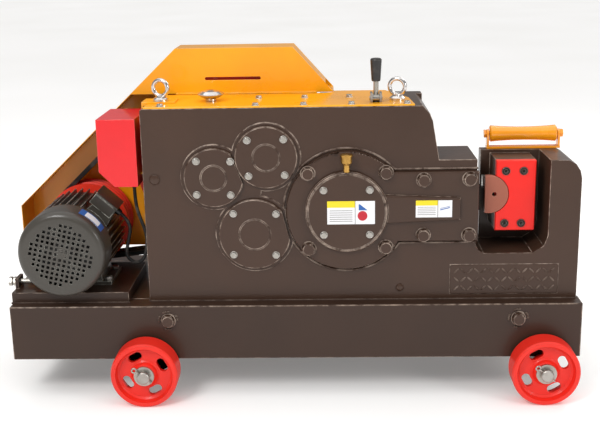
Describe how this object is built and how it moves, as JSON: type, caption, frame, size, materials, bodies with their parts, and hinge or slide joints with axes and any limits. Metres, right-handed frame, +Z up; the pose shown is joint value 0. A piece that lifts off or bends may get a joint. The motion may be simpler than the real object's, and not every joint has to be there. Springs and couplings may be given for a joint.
{
  "type": "rebar cutter",
  "caption": "Wheeled electric bar cutter: belt-driven gear case with clutch and crank drives a ram whose blade shears bars in an open throat.",
  "frame": {"origin": "on the ground, under the middle of the whole machine's outline", "axes": "+X along the base towards the blades, -Y towards the operator's side, +Z up"},
  "size_m": [1.31, 0.548, 0.766],
  "materials": {
    "case_paint": "gloss enamel over rough casting",
    "base_paint": "gloss enamel",
    "orange_sheet": "gloss powder coat",
    "wheel_red": "gloss enamel over casting",
    "box_red": "gloss powder coat",
    "holder_red": "gloss enamel",
    "pulley_red": "satin enamel",
    "motor_green": "satin enamel",
    "roller_orange": "gloss enamel",
    "stop_brown": "satin primer",
    "machined_steel": "ground",
    "zinc": "bright zinc plate",
    "black_steel": "black oxide",
    "gear_steel": "oiled",
    "grey_iron": "as cast",
    "chrome": "polished",
    "brass": "polished",
    "bronze": "machined",
    "winding": "varnished copper",
    "rubber": "matt",
    "black_plastic": "moulded",
    "green_plastic": "moulded",
    "red_plastic": "moulded"
  },
  "bodies": {
    "root": {"bar_stop": "stop_brown", "base_frame": "base_paint", "belt_guard": "orange_sheet", "blade_holder": "holder_red", "box_bracket": "orange_sheet", "box_fittings": "black_plastic", "bushes_and_liners": "bronze", "cover_bolts": "zinc", "eye_bolts": "chrome", "fixed_blade": "machined_steel", "frame_bolts": "case_paint", "guide_cover": "case_paint", "holder_screws": "black_steel", "lever_socket": "machined_steel", "main_casting": "case_paint", "motor_base": "base_paint", "motor_bolts": "zinc", "motor_cowl": "motor_green", "motor_frame": "motor_green", "motor_lead": "rubber", "motor_stator": "winding", "oil_cup": "brass", "roller_bracket": "roller_orange", "shaft_bearings": "machined_steel", "shaft_covers": "case_paint", "switch_box": "box_red", "terminal_box": "motor_green", "top_cover": "orange_sheet", "v_belts": "rubber", "wheel_axles": "machined_steel", "wheel_retainers": "zinc"},
    "input": {"input_shaft": "gear_steel", "flywheel_pulley": "pulley_red"},
    "motor_spindle": {"motor_rotor": "machined_steel", "motor_fan": "black_plastic", "motor_pulley": "pulley_red"},
    "second": {"second_shaft": "gear_steel", "second_gear": "gear_steel"},
    "third": {"third_shaft": "gear_steel", "third_gear": "gear_steel"},
    "free_gear": {"crank_gear": "gear_steel"},
    "crank": {"crankshaft": "machined_steel"},
    "collar": {"clutch_collar": "gear_steel"},
    "fork": {"shift_fork": "grey_iron"},
    "lever": {"clutch_lever": "zinc", "lever_knob": "black_plastic"},
    "ram_slide_body": {"ram": "black_steel", "moving_blade": "machined_steel", "blade_bolt": "black_steel", "connecting_rod": "grey_iron", "wrist_pin": "machined_steel"},
    "roller": {"feed_roller": "roller_orange"},
    "start": {"start_button": "green_plastic"},
    "stop": {"stop_button": "red_plastic"},
    "cup_lid": {"oil_cup_lid": "brass"},
    "filler": {"filler_cap": "chrome"},
    "wheel_fl": {"wheel_front_left": "wheel_red"},
    "wheel_fr": {"wheel_front_right": "wheel_red"},
    "wheel_rl": {"wheel_rear_left": "wheel_red"},
    "wheel_rr": {"wheel_rear_right": "wheel_red"}
  },
  "joints": [
    {"name": "input_spin", "type": "hinge", "parent": "root", "child": "input", "pos_m": [-0.156, 0.09, 0.504], "axis": [0, 1, 0], "continuous": true},
    {"name": "motor_spin", "type": "hinge", "parent": "root", "child": "motor_spindle", "pos_m": [-0.496, 0.09, 0.342], "axis": [0, 1, 0], "continuous": true},
    {"name": "second_spin", "type": "hinge", "parent": "root", "child": "second", "pos_m": [-0.04008, -0.09, 0.54803], "axis": [0, 1, 0], "continuous": true},
    {"name": "third_spin", "type": "hinge", "parent": "root", "child": "third", "pos_m": [-0.06896, -0.09, 0.37543], "axis": [0, 1, 0], "continuous": true},
    {"name": "crank_gear_spin", "type": "hinge", "parent": "root", "child": "free_gear", "pos_m": [0.13462, -0.016, 0.42695], "axis": [0, 1, 0], "continuous": true},
    {"name": "crank_turn", "type": "hinge", "parent": "root", "child": "crank", "pos_m": [0.13462, -0.016, 0.42695], "axis": [0, 1, 0], "range_deg": [0, 180]},
    {"name": "ram_slide", "type": "slide", "parent": "root", "child": "ram_slide_body", "axis": [1, 0, 0], "range_m": [-0.044, 0]},
    {"name": "clutch_lever_tilt", "type": "hinge", "parent": "root", "child": "lever", "pos_m": [0.201, -0.122, 0.668], "axis": [-1, 0, 0], "range_deg": [0, 10]},
    {"name": "fork_slide", "type": "slide", "parent": "root", "child": "fork", "axis": [0, -1, 0], "range_m": [0, 0.0098]},
    {"name": "collar_slide", "type": "slide", "parent": "crank", "child": "collar", "axis": [0, -1, 0], "range_m": [0, 0.0098]},
    {"name": "roller_spin", "type": "hinge", "parent": "root", "child": "roller", "pos_m": [0.544, -0.01, 0.566], "axis": [1, 0, 0], "continuous": true},
    {"name": "start_press", "type": "slide", "parent": "root", "child": "start", "axis": [1, 0, 0], "range_m": [0, 0.004], "stiffness_N_per_m": 300, "springref_m": -0.002},
    {"name": "stop_press", "type": "slide", "parent": "root", "child": "stop", "axis": [1, 0, 0], "range_m": [0, 0.005], "stiffness_N_per_m": 300, "springref_m": -0.002},
    {"name": "oil_cup_lid_hinge", "type": "hinge", "parent": "root", "child": "cup_lid", "pos_m": [0.13462, -0.183, 0.55425], "axis": [-1, 0, 0], "range_deg": [0, 95]},
    {"name": "filler_cap_turn", "type": "hinge", "parent": "root", "child": "filler", "pos_m": [-0.166, -0.076, 0.66], "axis": [0, 0, 1], "range_deg": [0, 180]},
    {"name": "wheel_fl_spin", "type": "hinge", "parent": "root", "child": "wheel_fl", "pos_m": [-0.318, -0.233, 0.075], "axis": [0, 1, 0], "continuous": true},
    {"name": "wheel_fr_spin", "type": "hinge", "parent": "root", "child": "wheel_fr", "pos_m": [0.569, -0.233, 0.075], "axis": [0, 1, 0], "continuous": true},
    {"name": "wheel_rl_spin", "type": "hinge", "parent": "root", "child": "wheel_rl", "pos_m": [-0.318, 0.233, 0.075], "axis": [0, 1, 0], "continuous": true},
    {"name": "wheel_rr_spin", "type": "hinge", "parent": "root", "child": "wheel_rr", "pos_m": [0.569, 0.233, 0.075], "axis": [0, 1, 0], "continuous": true}
  ],
  "couplings": [
    {"joint": "motor_spin", "follows": "input_spin", "ratio": 2.202},
    {"joint": "second_spin", "follows": "input_spin", "ratio": -0.29167},
    {"joint": "third_spin", "follows": "input_spin", "ratio": 0.08642},
    {"joint": "crank_gear_spin", "follows": "input_spin", "ratio": -0.025606},
    {"joint": "ram_slide", "follows": "crank_turn", "m_per_rad": -0.014006},
    {"joint": "fork_slide", "follows": "clutch_lever_tilt", "m_per_rad": 0.056},
    {"joint": "collar_slide", "follows": "clutch_lever_tilt", "m_per_rad": 0.056}
  ]
}
